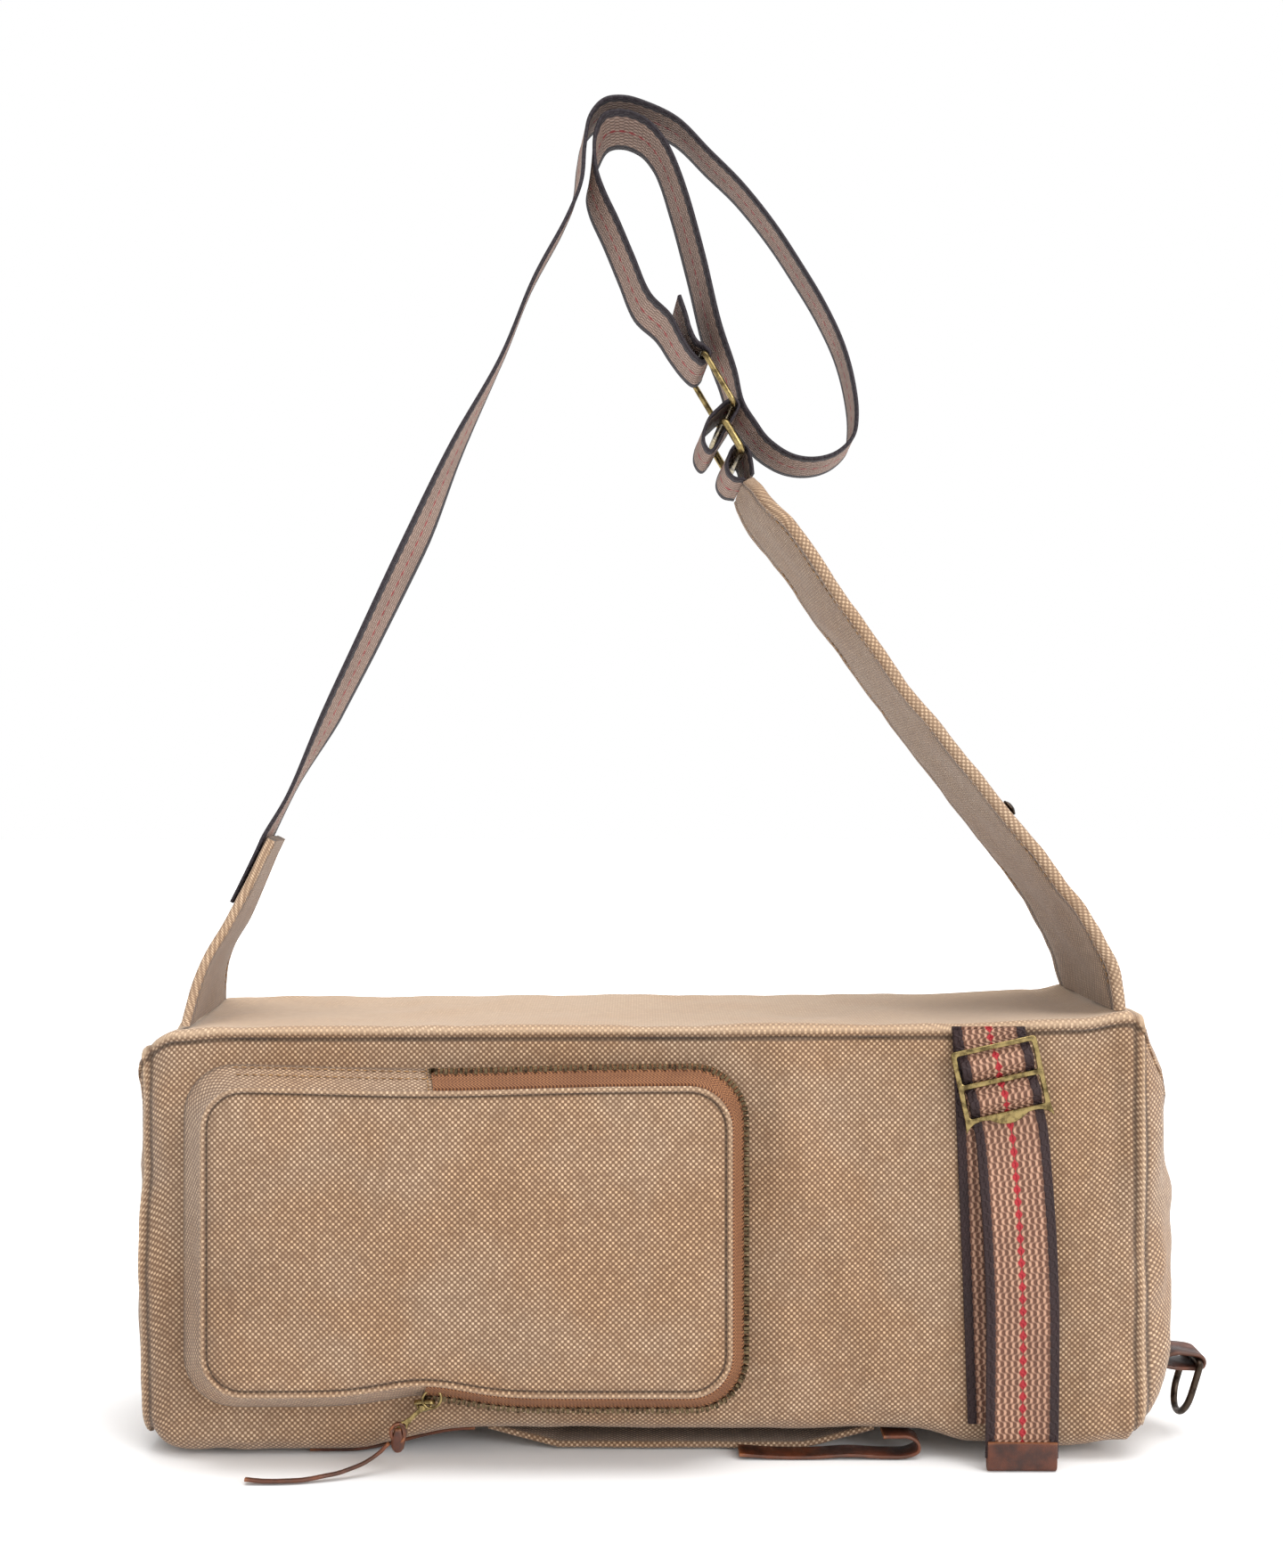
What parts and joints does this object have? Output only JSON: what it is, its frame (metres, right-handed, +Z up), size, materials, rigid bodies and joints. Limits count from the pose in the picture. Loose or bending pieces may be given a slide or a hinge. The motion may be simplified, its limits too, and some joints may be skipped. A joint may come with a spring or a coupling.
{
  "type": "canvas sling bag",
  "caption": "Boxy canvas shoulder bag with a zipped front pocket, a buckled webbing band, and a wide strap with a webbing loop and rings.",
  "frame": {"origin": "the point under the strap's top loop where the bag hangs", "axes": "+X along the bag's length to its wide strap, -Y out of its front pocket, +Z up"},
  "size_m": [0.4974, 0.1472, 0.6279],
  "materials": {
    "canvas": "dotted cotton duck",
    "webbing": "striped woven webbing",
    "tape": "herringbone tape",
    "leather": "worn satin",
    "brass": "antique brushed",
    "bronze": "dark patina"
  },
  "bodies": {
    "bag": {"front_panel": "canvas", "back_panel": "canvas", "top_panel": "canvas", "bottom_panel": "canvas", "left_end_panel": "canvas", "right_end_panel": "canvas", "main_zip": "tape", "pocket_front": "canvas", "pocket_gusset": "canvas", "pocket_zip_tape": "tape", "pocket_zip_teeth": "brass", "zip_slider": "brass", "zip_pull": "brass", "leather_puller": "leather", "puller_knot": "leather", "band_lower": "webbing", "band_upper": "webbing", "band_tip": "leather", "buckle": "brass", "slip_pocket": "canvas", "foot_strap": "leather", "folded_strap": "leather", "ring_tab": "leather", "left_tab": "canvas", "shoulder_strap": "canvas", "strap_webbing": "webbing", "upper_ring": "brass", "lower_ring": "brass", "ring_link": "webbing", "strap_end_loop": "webbing", "strap_rivet": "bronze"},
    "ring": {"d_ring": "bronze"}
  },
  "joints": [
    {"name": "d_ring_swing", "type": "hinge", "parent": "bag", "child": "ring", "pos_m": [0.26752, -0.0175, -0.58195], "axis": [0, 1, 0], "range_deg": [-150, 40]}
  ]
}
